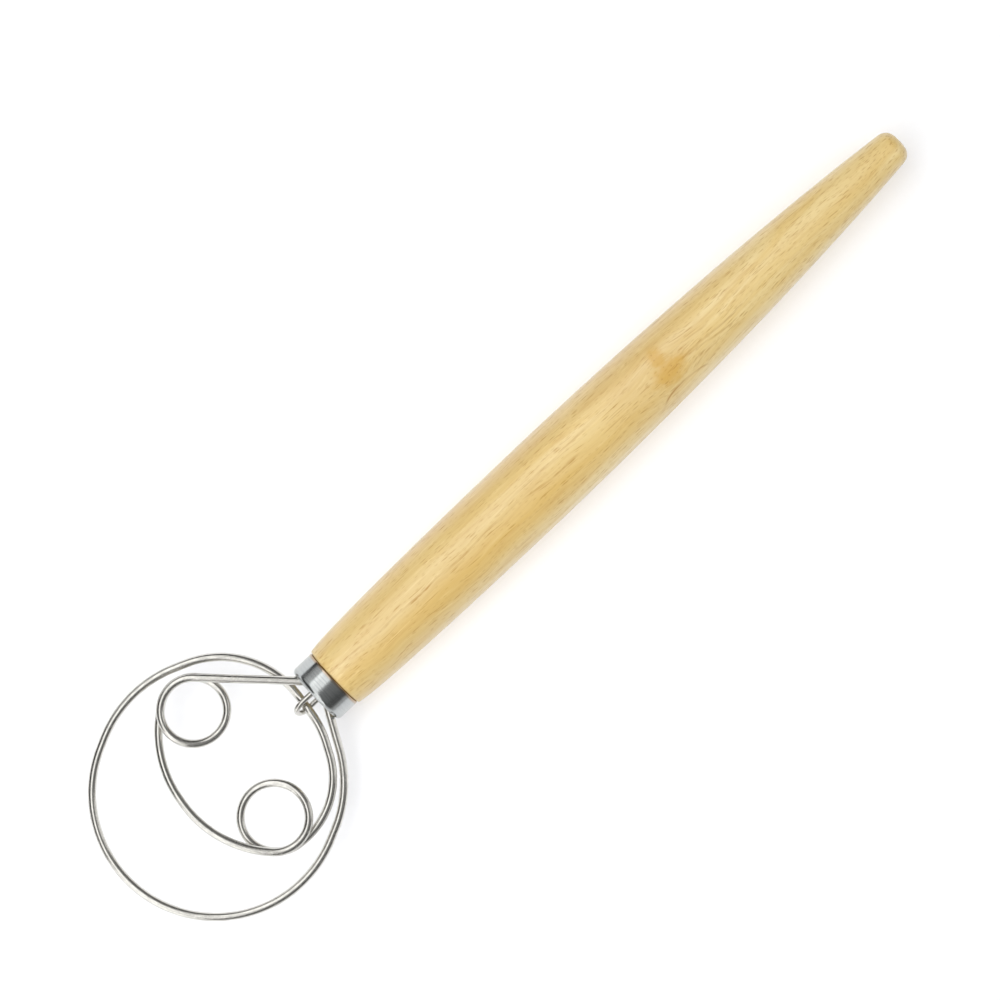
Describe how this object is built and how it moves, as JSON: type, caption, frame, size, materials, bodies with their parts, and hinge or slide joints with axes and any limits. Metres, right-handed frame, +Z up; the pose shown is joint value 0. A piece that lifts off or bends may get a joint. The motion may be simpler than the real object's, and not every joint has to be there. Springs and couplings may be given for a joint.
{
  "type": "dough whisk",
  "caption": "Hand dough whisk with a tapered turned wooden handle, a steel ferrule and one flat looped wire head held by a centre hook",
  "frame": {"origin": "centre of the footprint, on the plane that the handle's belly rests on", "axes": "+X from the wire head to the butt of the handle, +Z up, square to the flat ring"},
  "size_m": [0.3424, 0.0834, 0.0268],
  "materials": {
    "handle_wood": "satin lacquer over pale straight-grained wood",
    "ferrule_steel": "spun and polished stainless steel",
    "wire_steel": "bright drawn stainless steel",
    "resin": "cured clear adhesive resin"
  },
  "bodies": {
    "root": {"handle": "handle_wood", "ferrule": "ferrule_steel", "whisk_wire": "wire_steel", "centre_hook": "wire_steel", "resin_plug": "resin"}
  },
  "joints": []
}
